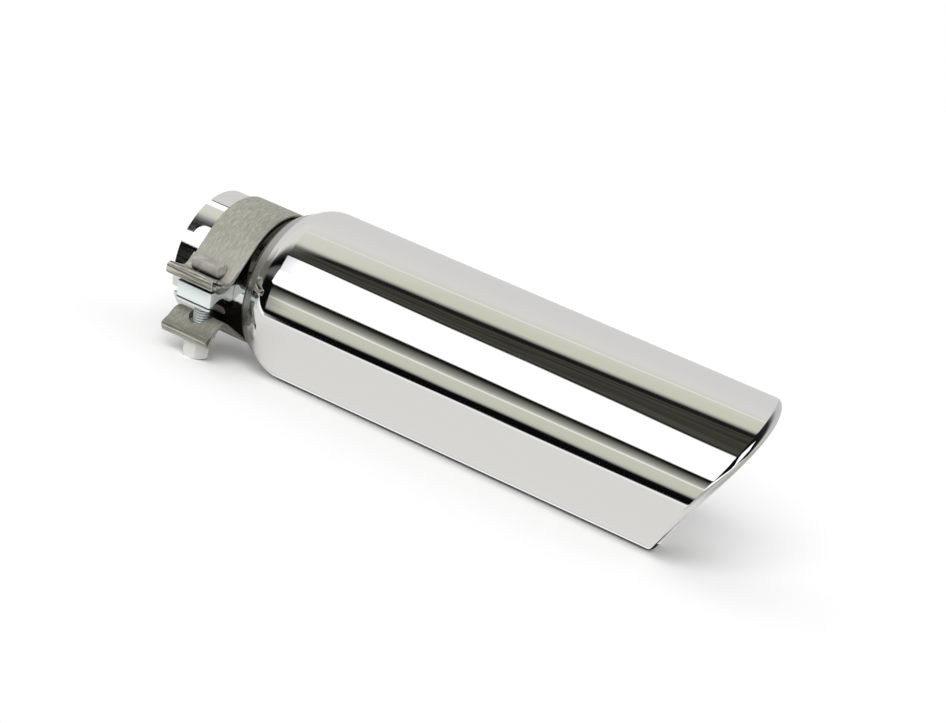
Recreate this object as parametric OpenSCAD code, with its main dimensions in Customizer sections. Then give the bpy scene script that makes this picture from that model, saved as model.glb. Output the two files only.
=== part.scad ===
// Slash-cut exhaust tip: a polished round shell on a slotted inlet tube,
// held on the tail pipe by a single-bolt band clamp.
// X runs along the bore from the centre of the inlet mouth, Z is up.

/* [Shell] */

// Outside diameter of the round shell
shell_od = 101.6; // [90:0.2:114]

// Sheet thickness of the shell
shell_t = 1.5; // [1:0.1:2.5]

// Distance from the inlet mouth to the neck of the shell
neck_x = 52; // [48:0.5:60]

// Angle of the cone between the neck and the round shell
cone_angle = 29.2; // [15:0.1:40]

// Radius of the rounded edge between the cone and the round shell
shoulder_radius = 18.5; // [5:0.5:30]

// Radius of the curl where the cone turns in to the tube
neck_curl = 3.4; // [2.5:0.1:5]

// Distance from the tube surface out to the centre of the neck curl
neck_land = 1.35; // [0.5:0.05:2]

/* [Slash cut] */

// Distance from the inlet mouth to the middle of the cut
cut_x = 338.06; // [250:0.5:420]

// Half of the length difference between the long and short sides
cut_rake = 29.34; // [5:0.1:50]

// Extra reach of the cut at its two ends, which bows it
cut_bow = 7.43; // [0:0.1:12]

// Turn of the longest side away from the clamp bolt direction
cut_turn = 26.2; // [0:0.1:90]

// Outside radius of the rolled-in lip
lip_radius = 3.67; // [2:0.05:6]

// Length of the flat flange that follows the rolled lip
lip_flange = 2; // [0.5:0.1:4]

/* [Inlet tube] */

// Outside diameter of the inlet tube
tube_od = 76.2; // [60:0.2:90]

// Wall thickness of the inlet tube
tube_t = 1.5; // [1:0.1:2.5]

// Length of the inlet tube
tube_length = 70; // [60:1:120]

// Number of narrow slots, and of wide notches, round the tube
slot_count = 4; // [2:1:6]

// Width of a narrow slot
slot_width = 5.4; // [2:0.1:10]

// Direction of the first narrow slot, up from the bolt side
slot_angle = 69.75; // [0:0.25:90]

// Width of a wide notch
notch_width = 12.9; // [6:0.1:20]

// Direction of the first wide notch, up from the bolt side
notch_angle = 36.25; // [0:0.25:90]

// Length of the slots and notches from the inlet mouth
slot_depth = 38; // [20:1:45]

/* [Weld] */

// Height of the weld bead up the face of the neck
weld_height = 2.2; // [1:0.1:4]

// Length of the weld bead along the tube
weld_length = 2.6; // [1:0.1:5]

/* [Band clamp] */

// Width of the band
band_width = 31.75; // [20:0.25:50]

// Distance from the inlet mouth to the band
band_x = 14.75; // [5:0.25:20]

// Thickness of the band strip
band_t = 1.5; // [1:0.1:2]

// Clearance between the band and the inlet tube
band_gap = 0.28; // [0.05:0.01:1]

// Hairline between the two layers of a folded ear
ear_gap = 0.1; // [0.05:0.01:0.5]

// Largest radius of the soft bends beside a folded ear
ear_knee = 6; // [4:0.5:6]

// Radius of the two bends that close a folded ear
fold_radius = 1.8; // [1.2:0.1:2]

// Diameter of the bolt hole in the lower ear, and width of the upper slot
ear_hole = 12.6; // [11:0.1:14]

// Length along the tube of the slot in the upper ear
ear_slot = 16; // [14:0.5:17]

// Distance of the ear holes from the bolt, outwards
ear_hole_shift = 1; // [0:0.1:1.5]

/* [Upper ear] */

// Height of the upper ear's bend above the tube axis
upper_height = 16.14; // [15:0.1:19]

// Radius of the upper ear's bend, at the middle of the strip
upper_bend = 7; // [6.5:0.1:8]

// Climb of the ear floor beyond the bend
upper_climb = 20; // [10:1:24]

// Length of the climbing floor
upper_floor = 4.6; // [4:0.1:8]

// Turn of the flat pad under the fold, up from level
upper_pad_angle = -1; // [-4:1:6]

// Length of the flat pad
upper_pad = 9.5; // [8:0.1:12]

// Turn of the upright outer side of the fold
upper_side_angle = 92; // [88:1:100]

// Height of the upright outer side
upper_side = 6.4; // [5.5:0.1:8]

// Length of the inner layer between the fold and the bend
upper_return = 3; // [2:0.1:4]

// Length of the inner layer's free tail beyond the bend
upper_tail = 6; // [2:0.5:8]

/* [Lower ear] */

// Depth of the lower ear's bend below the tube axis
lower_depth = 22.6; // [21:0.1:25]

// Radius of the lower ear's bend, at the middle of the strip
lower_bend = 8; // [7.5:0.1:9]

// Length of the slope beyond the bend
lower_slope = 4.4; // [4:0.1:7]

// Turn of the pad above the fold, down from level
lower_pad_angle = 23; // [18:1:28]

// Length of the pad
lower_pad = 6.1; // [5.5:0.1:9]

// Turn of the outer side of the fold, down from level
lower_side_angle = 115; // [108:1:118]

// Length of the outer side
lower_side = 8.4; // [7.5:0.1:10]

// Length of the inner layer between the fold and the bend
lower_return = 4.6; // [4:0.1:5.5]

// Length of the inner layer's free tail beyond the bend
lower_tail = 4; // [2:0.5:6]

/* [Bolt] */

// Distance from the tube surface to the middle of the bolt
bolt_clear = 11; // [10:0.1:16]

// Distance of the bolt from the middle of the band, towards the shell
bolt_shift = 0.9; // [0:0.1:2]

// Diameter of the bolt shank
bolt_d = 9.5; // [8:0.1:10]

// Half of the width of the half-round bolt head
head_radius = 4.5; // [4:0.1:7]

// Height of the head above the centre of its round side
head_rise = 3.6; // [1:0.1:4]

// Length of the half-round bolt head
head_length = 18.6; // [17.5:0.1:28]

// Length of the half-round saddle under the nut
saddle_length = 15; // [12:0.5:26]

// Width of the nut across its flats
nut_flats = 14.3; // [12:0.1:16]

// Height of the nut
nut_height = 11.4; // [8:0.1:13]

// Distance of the nut end below the tube axis
nut_end = 38.4; // [36:0.1:50]

/* [Reaction block] */

// Length of the block along the tube
block_length = 23.4; // [16:0.2:30]

// Distance from the middle of the bolt to the outer face of the block
block_reach = 10.9; // [9:0.1:16]

// Height of the block's middle above the tube axis
block_mid = 2; // [0:0.1:2.5]

// Height of the block at its outer face
block_out_height = 9; // [7:0.1:10]

// Height of the block at the tube
block_in_height = 10.5; // [9:0.1:11]

// Thickness of the block's waist, at the bolt
block_waist = 2.7; // [2:0.1:5]

// Radius of the round hollows in the top and bottom of the block
block_hollow = 10; // [8.5:0.5:14]

// Radius of the upright outer edges of the block
block_corner = 1.8; // [0.5:0.1:4]

/* [Hidden] */

shell_r = shell_od / 2;
tube_r = tube_od / 2;
bolt_u = tube_r + bolt_clear;
bolt_x = band_x + band_width / 2 + bolt_shift;
seat = 0.03;
ear_seat = 0.12;
bolt_fit = 0.4;
thread_gap = 0.1;
far = 4 * bolt_u;

function cut_at(c) = cut_x + cut_rake * c + cut_bow * c * c;
function cut_slope(c) = (cut_rake * c + 2 * cut_bow * c * c) / shell_r;
function lip_turn(c) = 90 + atan(cut_slope(c));
function wall_end(c) = cut_at(c) - lip_radius * tan(lip_turn(c) / 2);

neck_bore = tube_r + seat;
curl_x = neck_x + neck_curl;
curl_r = neck_bore + neck_land;
curl_tip_x = curl_x - neck_curl * sin(cone_angle);
curl_tip_r = curl_r + neck_curl * cos(cone_angle);
cone_top_r = shell_r - shoulder_radius * (1 - cos(cone_angle));
cone_top_x = curl_tip_x + (cone_top_r - curl_tip_r) / tan(cone_angle);
shoulder_x = cone_top_x + shoulder_radius * sin(cone_angle);

shell_sides = 96;
lip_steps = 5;
shoulder_steps = 5;
curl_steps = 3;

ring_mid = tube_r + band_gap + band_t / 2;
layer = band_t + ear_gap;
upper_leave = atan2(upper_height, bolt_u) + acos((ring_mid + upper_bend) / norm([bolt_u, upper_height]));
lower_leave = atan2(lower_depth, bolt_u) + acos((ring_mid + lower_bend) / norm([bolt_u, lower_depth]));
arc_steps = 8;
knee_steps = 6;
ring_steps = 84;

head_r = min(head_radius, upper_bend - layer - band_t / 2 - ear_seat);
saddle_r = lower_bend - layer - band_t / 2 - ear_seat;
saddle_base = nut_height - nut_end + seat;
bolt_tip = 1;
nut_chamfer = 2;
nut_land = 0.1;

block_gap = 0.25;
block_x = bolt_x - block_length / 2;
block_outer = bolt_u + block_reach;
hollow_shift = block_waist / 2 + block_hollow;

nut_out = bolt_u + nut_flats / 2;
nut_reach = norm([nut_out, nut_end]);
lean = asin(shell_r / nut_reach) - atan(nut_end / nut_out);

function arc(c, r, a0, a1, n) =
    [for (i = [0:n]) c + r * [cos(a0 + (a1 - a0) * i / n), sin(a0 + (a1 - a0) * i / n)]];

function unit(v) = v / norm(v);

function left(v) = [-v[1], v[0]];

function side(a, b) = a[0] * b[1] - a[1] * b[0];

// Points that round the corner b between a and c with radius r
function rounded(a, b, c, r) =
    let (p = unit(b - a), q = unit(c - b), turn = side(p, q) > 0 ? 1 : -1)
    let (angle = acos(max(-1, min(1, p * q))), back = r * tan(angle / 2))
    let (start = b - back * p, mid = start + turn * r * left(p))
    let (from = atan2(start[1] - mid[1], start[0] - mid[0]))
    arc(mid, r, from, from + turn * angle, knee_steps);

// Outline of a strip of thickness t along the points p
function strip_side(p, t) =
    [for (i = [0:len(p) - 1])
        let (a = unit(p[min(i + 1, len(p) - 1)] - p[min(i, len(p) - 2)]))
        let (b = unit(p[max(i, 1)] - p[max(i - 1, 0)]))
        let (n = unit(left(a) + left(b)))
        p[i] + n * t / (n * left(a))];

function reversed(p) = [for (i = [len(p) - 1:-1:0]) p[i]];

module strip(p, t) {
    polygon(concat(strip_side(p, t / 2), reversed(strip_side(p, -t / 2))));
}

// Turns a drawing of across-tube distance and height into a solid along X
module along_x(x, length) {
    translate([x, 0, 0])
        rotate([90, 0, 0])
            rotate([0, -90, 0])
                mirror([0, 0, 1])
                    linear_extrude(height = length)
                        children();
}

// Outline of the sheet in one plane through the axis, as [along, out] points.
// c is the cosine of the angle from the longest side of the cut.
function shell_loop(c) =
    let (turn = lip_turn(c), along = [cos(turn), -sin(turn)])
    let (mid = [wall_end(c), shell_r - lip_radius], r_in = lip_radius - shell_t)
    let (curl = [curl_x, curl_r], edge = [shoulder_x, shell_r - shoulder_radius])
    concat(
        [[neck_x, neck_bore]],
        arc(curl, neck_curl, 180, 90 + cone_angle, curl_steps),
        arc(edge, shoulder_radius, 90 + cone_angle, 90, shoulder_steps),
        arc(mid, lip_radius, 90, 90 - turn, lip_steps),
        [mid + lip_radius * [sin(turn), cos(turn)] + lip_flange * along],
        [mid + r_in * [sin(turn), cos(turn)] + lip_flange * along],
        arc(mid, r_in, 90 - turn, 90, lip_steps),
        arc(edge, shoulder_radius - shell_t, 90, 90 + cone_angle, shoulder_steps),
        arc(curl, neck_curl - shell_t, 90 + cone_angle, 180, curl_steps),
        [[neck_x + shell_t, neck_bore]]
    );

module shell_solid() {
    n = len(shell_loop(0));
    lip_from = 2 + curl_steps + 1 + shoulder_steps;
    lip_to = lip_from + 2 * lip_steps + 3;
    points = [for (k = [0:shell_sides - 1])
        let (a = 360 * k / shell_sides)
        for (p = shell_loop(cos(a))) [p[0], -p[1] * sin(a), p[1] * cos(a)]];
    faces = [for (k = [0:shell_sides - 1], j = [0:n - 1])
        let (here = k * n, next = ((k + 1) % shell_sides) * n, m = (j + 1) % n)
        let (quad = [here + j, here + m, next + m, next + j])
        let (bent = j >= lip_from && j < lip_to)
        each bent ? [[quad[0], quad[1], quad[2]], [quad[0], quad[2], quad[3]]] : [quad]];
    polyhedron(points = points, faces = faces);
}

module outer_shell() {
    color([0.86, 0.87, 0.88])
        rotate([lean + cut_turn, 0, 0])
            shell_solid();
}

module tube_slot(angle, width) {
    rotate([90 - angle, 0, 0]) {
        translate([-tube_t, -width / 2, tube_r / 2])
            cube([slot_depth - width / 2 + tube_t, width, tube_r]);
        translate([slot_depth - width / 2, 0, tube_r / 2])
            cylinder(d = width, h = tube_r, $fn = 48);
    }
}

module inlet_tube() {
    color([0.84, 0.85, 0.86])
        rotate([lean, 0, 0])
            difference() {
                rotate([0, 90, 0])
                    cylinder(r = tube_r, h = tube_length, $fn = 128);
                translate([-tube_t, 0, 0])
                    rotate([0, 90, 0])
                        cylinder(r = tube_r - tube_t, h = tube_length + 2 * tube_t, $fn = 128);
                for (k = [0:slot_count - 1]) {
                    tube_slot(slot_angle + 360 * k / slot_count, slot_width);
                    tube_slot(notch_angle + 360 * k / slot_count, notch_width);
                }
            }
}

module neck_weld() {
    foot = tube_r + seat;
    face = neck_x - seat;
    bulge = arc([foot, face], 1, 0, -90, 8);
    color([0.6, 0.58, 0.54])
        rotate([0, 90, 0])
            rotate_extrude($fn = 128)
                polygon(concat([[foot, face]],
                    [for (p = bulge) [foot + (p[0] - foot) * weld_height, face + (p[1] - face) * weld_length]]));
}

// Unit vector at an angle
function aim(a) = [cos(a), sin(a)];

// Middle line of the upper ear, from the ring to its free end
function upper_path() =
    let (mid = [bolt_u, upper_height], r_in = upper_bend - layer, down = aim(upper_climb - 90))
    let (floor_end = mid + upper_bend * down, knee = floor_end + upper_floor * aim(upper_climb))
    let (toe = knee + upper_pad * aim(upper_pad_angle), top = toe + upper_side * aim(upper_side_angle))
    let (back = mid + r_in * down, join = back + upper_return * aim(upper_climb))
    concat(
        arc(mid, upper_bend, 180 + upper_leave, 270 + upper_climb, arc_steps),
        rounded(floor_end, knee, toe, ear_knee),
        rounded(knee, toe, top, fold_radius),
        rounded(toe, top, join, fold_radius),
        rounded(top, join, back, ear_knee),
        arc(mid, r_in, 270 + upper_climb, 180 + upper_leave, arc_steps),
        [mid - r_in * aim(upper_leave) + upper_tail * aim(upper_leave + 90)]
    );

// Middle line of the lower ear, from the ring to its free end
function lower_path() =
    let (mid = [bolt_u, -lower_depth], climb = 90 - lower_leave, r_in = lower_bend - layer)
    let (crest_end = mid + lower_bend * aim(90 - climb), knee = crest_end + lower_slope * aim(-climb))
    let (toe = knee + lower_pad * aim(-lower_pad_angle), heel = toe + lower_side * aim(-lower_side_angle))
    let (back = mid + r_in * aim(90 - climb), join = back + lower_return * aim(-climb))
    concat(
        arc(mid, lower_bend, 90 + climb, 90 - climb, arc_steps),
        rounded(crest_end, knee, toe, ear_knee),
        rounded(knee, toe, heel, fold_radius),
        rounded(toe, heel, join, fold_radius),
        rounded(heel, join, back, ear_knee),
        arc(mid, r_in, 90 - climb, 90 + climb, arc_steps),
        [mid + r_in * aim(90 + climb) - lower_tail * aim(climb)]
    );

// The band is one bent strip: upper ear, ring and lower ear
module band_strip() {
    strip(concat(
        reversed(upper_path()),
        arc([0, 0], ring_mid, upper_leave, 360 - lower_leave, ring_steps),
        lower_path()
    ), band_t);
}

// Waste that cuts the bolt holes: a slot through the upper ear, a round hole through the lower
module ear_waste() {
    side_step = (ear_slot - ear_hole) / 2;
    for (shift = [-ear_hole_shift, ear_hole_shift])
        translate([bolt_x, -bolt_u + shift, -far / 2])
            cylinder(d = ear_hole, h = far, $fn = 64);
    for (step = [-side_step, side_step])
        translate([bolt_x + step, -bolt_u - ear_hole_shift, 0])
            cylinder(d = ear_hole, h = far, $fn = 64);
}

module clamp_band() {
    color([0.68, 0.67, 0.63])
        rotate([lean, 0, 0])
            difference() {
                along_x(band_x, band_width)
                    band_strip();
                ear_waste();
            }
}

// Side view of the block: a bow tie with a round hollow above and below the bolt
module bow_tie() {
    half_in = block_in_height / 2;
    half_out = block_out_height / 2;
    inner = tube_r - block_waist;
    difference() {
        polygon([[inner, block_mid - half_in], [block_outer, block_mid - half_out],
            [block_outer, block_mid + half_out], [inner, block_mid + half_in]]);
        for (s = [-1, 1])
            translate([bolt_u, block_mid + s * hollow_shift])
                circle(r = block_hollow, $fn = 64);
    }
}

// Waste that rounds one upright outer edge of the block
module block_edge(s) {
    translate([0, 0, -far / 2])
        difference() {
            translate([-s * block_corner, -block_corner, 0])
                mirror([s > 0 ? 0 : 1, 0, 0])
                    cube([2 * block_corner, 2 * block_corner, far]);
            translate([-s * block_corner, block_corner, -block_corner])
                cylinder(r = block_corner, h = far + 2 * block_corner, $fn = 48);
        }
}

module reaction_block() {
    color([0.82, 0.85, 0.86])
        rotate([lean, 0, 0])
            difference() {
                along_x(block_x, block_length)
                    bow_tie();
                translate([block_x - block_corner, 0, 0])
                    rotate([0, 90, 0])
                        cylinder(r = tube_r + block_gap, h = block_length + 2 * block_corner, $fn = 128);
                translate([bolt_x, -bolt_u, -far / 2])
                    cylinder(d = bolt_d + bolt_fit, h = far, $fn = 64);
                for (s = [-1, 1])
                    translate([bolt_x + s * block_length / 2, -block_outer, 0])
                        block_edge(s);
            }
}

// Section of a half-round bar, round side down, with its flat side a height above the centre
module half_round(r, rise) {
    intersection() {
        union() {
            circle(r = r, $fn = 64);
            translate([-r, 0])
                square([2 * r, rise]);
        }
        translate([-r, -r])
            square([2 * r, r + rise]);
    }
}

module t_bolt() {
    tip = bolt_tip - nut_end;
    color([0.72, 0.73, 0.72])
        rotate([lean, 0, 0])
            union() {
                along_x(bolt_x - head_length / 2, head_length)
                    translate([bolt_u, upper_height])
                        half_round(head_r, head_rise);
                translate([bolt_x, -bolt_u, tip])
                    cylinder(d = bolt_d, h = upper_height - tip, $fn = 64);
            }
}

module saddle_bar() {
    color([0.7, 0.7, 0.69])
        rotate([lean, 0, 0])
            difference() {
                along_x(bolt_x - saddle_length / 2, saddle_length)
                    translate([bolt_u, -lower_depth])
                        mirror([0, 1])
                            half_round(saddle_r, -lower_depth - saddle_base);
                translate([bolt_x, -bolt_u, -far])
                    cylinder(d = bolt_d + bolt_fit, h = far, $fn = 64);
            }
}

module nut() {
    face_r = nut_flats / 2 + nut_land;
    wide_r = face_r + 2 * nut_chamfer;
    color([0.85, 0.85, 0.84])
        rotate([lean, 0, 0])
            translate([bolt_x, -bolt_u, -nut_end])
                difference() {
                    intersection() {
                        cylinder(d = nut_flats / cos(30), h = nut_height, $fn = 6);
                        union() {
                            cylinder(r1 = face_r, r2 = wide_r, h = nut_chamfer, $fn = 96);
                            translate([0, 0, nut_chamfer])
                                cylinder(r = wide_r, h = nut_height - 2 * nut_chamfer, $fn = 96);
                            translate([0, 0, nut_height - nut_chamfer])
                                cylinder(r1 = wide_r, r2 = face_r, h = nut_chamfer, $fn = 96);
                        }
                    }
                    translate([0, 0, -nut_chamfer])
                        cylinder(d = bolt_d + thread_gap, h = nut_height + 2 * nut_chamfer, $fn = 64);
                }
}

outer_shell();
inlet_tube();
neck_weld();
clamp_band();
reaction_block();
t_bolt();
saddle_bar();
nut();
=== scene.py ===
import math

import bmesh
import bpy
import numpy as np
from mathutils import Matrix, Vector


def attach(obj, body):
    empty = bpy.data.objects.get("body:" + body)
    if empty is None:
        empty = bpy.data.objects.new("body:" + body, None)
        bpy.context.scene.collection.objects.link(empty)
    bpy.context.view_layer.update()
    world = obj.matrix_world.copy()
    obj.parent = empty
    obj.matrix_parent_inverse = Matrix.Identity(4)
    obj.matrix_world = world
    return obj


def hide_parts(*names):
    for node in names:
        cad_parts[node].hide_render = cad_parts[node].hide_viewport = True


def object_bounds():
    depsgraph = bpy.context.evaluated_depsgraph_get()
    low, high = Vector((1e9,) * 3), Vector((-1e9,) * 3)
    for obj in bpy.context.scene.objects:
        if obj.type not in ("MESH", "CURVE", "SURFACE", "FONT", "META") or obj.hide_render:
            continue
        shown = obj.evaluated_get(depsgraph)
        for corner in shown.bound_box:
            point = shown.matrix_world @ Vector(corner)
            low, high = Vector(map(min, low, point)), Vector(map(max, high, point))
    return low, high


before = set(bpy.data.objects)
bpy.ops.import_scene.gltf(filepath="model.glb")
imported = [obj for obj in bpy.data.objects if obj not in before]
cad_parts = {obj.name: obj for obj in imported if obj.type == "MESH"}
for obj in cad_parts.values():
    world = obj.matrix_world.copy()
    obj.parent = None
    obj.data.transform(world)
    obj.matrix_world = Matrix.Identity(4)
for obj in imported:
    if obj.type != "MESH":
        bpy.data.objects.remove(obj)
cad_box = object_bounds()

# Sizes in millimetres, as in the part's source
SHELL_R, SHELL_T = 50.8, 1.5
NECK_X, CONE, SHOULDER_BEND, NECK_CURL, NECK_LAND = 52.0, math.radians(29.2), 18.5, 3.4, 1.35
CUT_X, CUT_RAKE, CUT_BOW, CUT_TURN = 338.06, 29.34, 7.43, math.radians(26.2)
LIP_BEND, LIP_FLANGE = 3.67, 2.0
TUBE_R, TUBE_T, TUBE_LENGTH = 38.1, 1.5, 70.0
SLOT_W, SLOT_AT, NOTCH_W, NOTCH_AT, SLOT_DEPTH = 5.4, 69.75, 12.9, 36.25, 38.0
BAND_X, BAND_W, BAND_T, BAND_GAP, EAR_GAP = 14.75, 31.75, 1.5, 0.28, 0.1
EAR_KNEE, FOLD_R, EAR_HOLE, EAR_SLOT, HOLE_SHIFT = 6.0, 1.8, 12.6, 16.0, 1.0
UPPER_W, UPPER_BEND, UPPER_FLOOR, UPPER_PAD, UPPER_SIDE = 16.14, 7.0, 4.6, 9.5, 6.4
UPPER_RETURN, UPPER_TAIL = 3.0, 6.0
UPPER_CLIMB, UPPER_PAD_AT, UPPER_SIDE_AT = (math.radians(a) for a in (20, -1, 92))
LOWER_W, LOWER_BEND, LOWER_SLOPE, LOWER_PAD, LOWER_SIDE = -22.6, 8.0, 4.4, 6.1, 8.4
LOWER_RETURN, LOWER_TAIL = 4.6, 4.0
LOWER_PAD_AT, LOWER_SIDE_AT = (math.radians(a) for a in (-23, -115))
BOLT_CLEAR, BOLT_SHIFT, BOLT_D = 11.0, 0.9, 9.5
HEAD_R, HEAD_RISE, HEAD_LONG, SADDLE_LONG = 4.5, 3.6, 18.6, 15.0
NUT_FLATS, NUT_HIGH, NUT_END = 14.3, 11.4, 38.4
BLOCK_LONG, BLOCK_REACH, BLOCK_MID, BLOCK_OUT_HIGH, BLOCK_IN_HIGH = 23.4, 10.9, 2.0, 9.0, 10.5
BLOCK_WAIST, BLOCK_HOLLOW, BLOCK_CORNER = 2.7, 10.0, 1.8
# Fit of the neck's bore round the tube
NECK_GAP = 0.03

BOLT_U, BOLT_X = TUBE_R + BOLT_CLEAR, BAND_X + BAND_W / 2 + BOLT_SHIFT
BLOCK_OUT = BOLT_U + BLOCK_REACH
NUT_OUT = BOLT_U + NUT_FLATS / 2
LEAN = math.asin(SHELL_R / math.hypot(NUT_OUT, NUT_END)) - math.atan2(NUT_END, NUT_OUT)
RING_MID = TUBE_R + BAND_GAP + BAND_T / 2
LAYER = BAND_T + EAR_GAP
CURL_TIP_R = TUBE_R + NECK_GAP + NECK_LAND + NECK_CURL * math.cos(CONE)
CONE_TOP_R = SHELL_R - SHOULDER_BEND * (1 - math.cos(CONE))
CURL_TIP_X = NECK_X + NECK_CURL - NECK_CURL * math.sin(CONE)
SHOULDER_X = CURL_TIP_X + (CONE_TOP_R - CURL_TIP_R) / math.tan(CONE) + SHOULDER_BEND * math.sin(CONE)


def leave(w, bend):
    """Angle at which the ring runs straight off to a bend at height w."""
    return math.atan2(w, BOLT_U) + math.acos((RING_MID + bend) / math.hypot(BOLT_U, w))


UPPER_LEAVE, LOWER_LEAVE = leave(UPPER_W, UPPER_BEND), leave(-LOWER_W, LOWER_BEND)


def rest(x, u, w):
    """A point of the clamp's own frame, as metres in the row frame: u out to the bolt, w up the bolt."""
    c, s = math.cos(LEAN), math.sin(LEAN)
    return Vector((x, -u * c - w * s, -u * s + w * c)) / 1000


def spun(x, r, a, turn):
    """A point at radius r and angle a from the +Z side, turned about the bore."""
    return Vector((x, -r * math.sin(a + turn), r * math.cos(a + turn))) / 1000


def arc(c, r, a0, a1, n):
    return [np.array(c) + r * np.array([math.cos(a), math.sin(a)]) for a in np.linspace(a0, a1, n + 1)]


def unit(v):
    return v / np.linalg.norm(v)


def left(v):
    return np.array([-v[1], v[0]])


# Meshes

def new_piece(name, verts, faces):
    mesh = bpy.data.meshes.new(name)
    mesh.from_pydata([tuple(v) for v in verts], [], faces)
    mesh.update()
    piece = bpy.data.objects.new(name, mesh)
    bpy.context.scene.collection.objects.link(piece)
    return piece


def outward(piece):
    bm = bmesh.new()
    bm.from_mesh(piece.data)
    bmesh.ops.remove_doubles(bm, verts=bm.verts, dist=1e-7)
    bmesh.ops.recalc_face_normals(bm, faces=bm.faces)
    bm.to_mesh(piece.data)
    bm.free()


def smooth(piece, angle=30):
    for p in piece.data.polygons:
        p.use_smooth = True
    piece.data.set_sharp_from_angle(angle=math.radians(angle))


def loft(name, rings, closed=True):
    """Rings of equally many points, joined by quads; closed joins the last ring to the first."""
    n, m = len(rings), len(rings[0])
    verts = [p for ring in rings for p in ring]
    faces = []
    for i in range(n if closed else n - 1):
        for j in range(m):
            a, b = i * m, ((i + 1) % n) * m
            faces.append((a + j, a + (j + 1) % m, b + (j + 1) % m, b + j))
    if not closed:
        faces.append(tuple(range(m)))
        faces.append(tuple(range((n - 1) * m, n * m))[::-1])
    piece = new_piece(name, verts, faces)
    outward(piece)
    return piece


def settle(piece):
    """Applies the piece's modifiers, so that what is left is a plain mesh."""
    dg = bpy.context.evaluated_depsgraph_get()
    shown = piece.evaluated_get(dg)
    mesh = bpy.data.meshes.new_from_object(shown, preserve_all_data_layers=True, depsgraph=dg)
    old = piece.data
    piece.modifiers.clear()
    piece.data = mesh
    bpy.data.meshes.remove(old)
    mesh.name = piece.name
    return piece


def cut(piece, cutters, mode="DIFFERENCE"):
    for c in cutters:
        m = piece.modifiers.new("cut", "BOOLEAN")
        m.operation, m.object, m.solver = mode, c, "EXACT"
    settle(piece)
    for c in cutters:
        mesh = c.data
        bpy.data.objects.remove(c)
        bpy.data.meshes.remove(mesh)
    return piece


def soften(piece, width, segments=2, angle=35):
    """Rounds the sharp edges by width millimetres."""
    m = piece.modifiers.new("edge", "BEVEL")
    m.width, m.segments, m.limit_method = width / 1000, segments, "ANGLE"
    m.angle_limit = math.radians(angle)
    m.harden_normals = False
    m.use_clamp_overlap = True
    settle(piece)
    smooth(piece, 40)
    return piece


def reach(v):
    """How far out towards the bolt a point lies, in millimetres."""
    return -1000 * (v.y * math.cos(LEAN) + v.z * math.sin(LEAN))


def ease(piece, width, picked):
    """Rounds the edges across the bore whose two ends are picked."""
    bm = bmesh.new()
    bm.from_mesh(piece.data)
    edges = [e for e in bm.edges if all(picked(v.co) for v in e.verts)]
    edges = [e for e in edges if abs(e.verts[0].co.x - e.verts[1].co.x) < 1e-6]
    bmesh.ops.bevel(bm, geom=edges, offset=width / 1000, segments=6, profile=0.5, affect="EDGES")
    bm.to_mesh(piece.data)
    bm.free()


def extruded(name, outline, x0, x1):
    """An outline of (u, w) points pushed along the bore from x0 to x1."""
    return loft(name, [[rest(x, u, w) for u, w in outline] for x in (x0, x1)], closed=False)


def full_turn(sides):
    return np.linspace(0, 2 * math.pi, sides, endpoint=False)


def round_section(r, w, sides):
    """A circle about the bolt at height w."""
    return [rest(BOLT_X + r * math.cos(a), BOLT_U + r * math.sin(a), w) for a in full_turn(sides)]


def upright(name, r, w0, w1, sides=64):
    """A round bar along the bolt."""
    return loft(name, [round_section(r, w, sides) for w in (w0, w1)], closed=False)


# Shell

# What the source's facets lose at the tip of the cut, so that the fine shell is no longer than they are
TIP_SAG = 0.07
# How far the rounded nose of the sheet's bare edge stands out inside the lip
NOSE = 0.35


def lip_turn(c):
    return math.pi / 2 + math.atan((CUT_RAKE * c + 2 * CUT_BOW * c * c) / SHELL_R)


def shell_loop(c):
    """Section of the sheet as (along, out), c being the cosine of the angle from the longest side."""
    turn = lip_turn(c)
    end = CUT_X - TIP_SAG + CUT_RAKE * c + CUT_BOW * c * c - LIP_BEND * math.tan(turn / 2)
    mid, q, foot = (end, SHELL_R - LIP_BEND), math.pi / 2, TUBE_R + NECK_GAP
    curl, edge = (NECK_X + NECK_CURL, foot + NECK_LAND), (SHOULDER_X, SHELL_R - SHOULDER_BEND)
    steps = [SHOULDER_X + 0.6] + list(np.linspace(SHOULDER_X + 12, end - 8, 14)) + [end - 0.6]

    def half(curl_r, bend_r, lip_r, wall):
        curve = [(NECK_X if wall == 0 else NECK_X + SHELL_T, foot)]
        curve += arc(curl, curl_r, 2 * q, q + CONE, 8)
        shoulder = arc(edge, bend_r, q + CONE, q, 20)
        curl_end = np.array(curve[-1])
        curve += [tuple(curl_end * (1 - t) + shoulder[0] * t) for t in (0.1, 0.9)]
        curve += shoulder
        curve += [(s, SHELL_R - wall) for s in steps]
        curve += arc(mid, lip_r, q, q - turn, 18)
        tip = np.array(mid) + lip_r * np.array([math.sin(turn), math.cos(turn)])
        run = np.array([math.cos(turn), -math.sin(turn)])
        curve += [tip + 0.4 * run, tip + LIP_FLANGE * run]
        return [tuple(p) for p in curve]

    out = half(NECK_CURL, SHOULDER_BEND, LIP_BEND, 0)
    inn = half(NECK_CURL - SHELL_T, SHOULDER_BEND - SHELL_T, LIP_BEND - SHELL_T, SHELL_T)
    edge_a, edge_b = np.array(out[-1]), np.array(inn[-1])
    run = unit(edge_a - np.array(out[-2]))
    nose = []
    for t in np.linspace(0, math.pi, 6)[1:-1]:
        nose.append(tuple(edge_a + (edge_b - edge_a) * (0.5 - 0.5 * math.cos(t)) + run * NOSE * math.sin(t)))
    return out + nose + inn[::-1]


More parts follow.
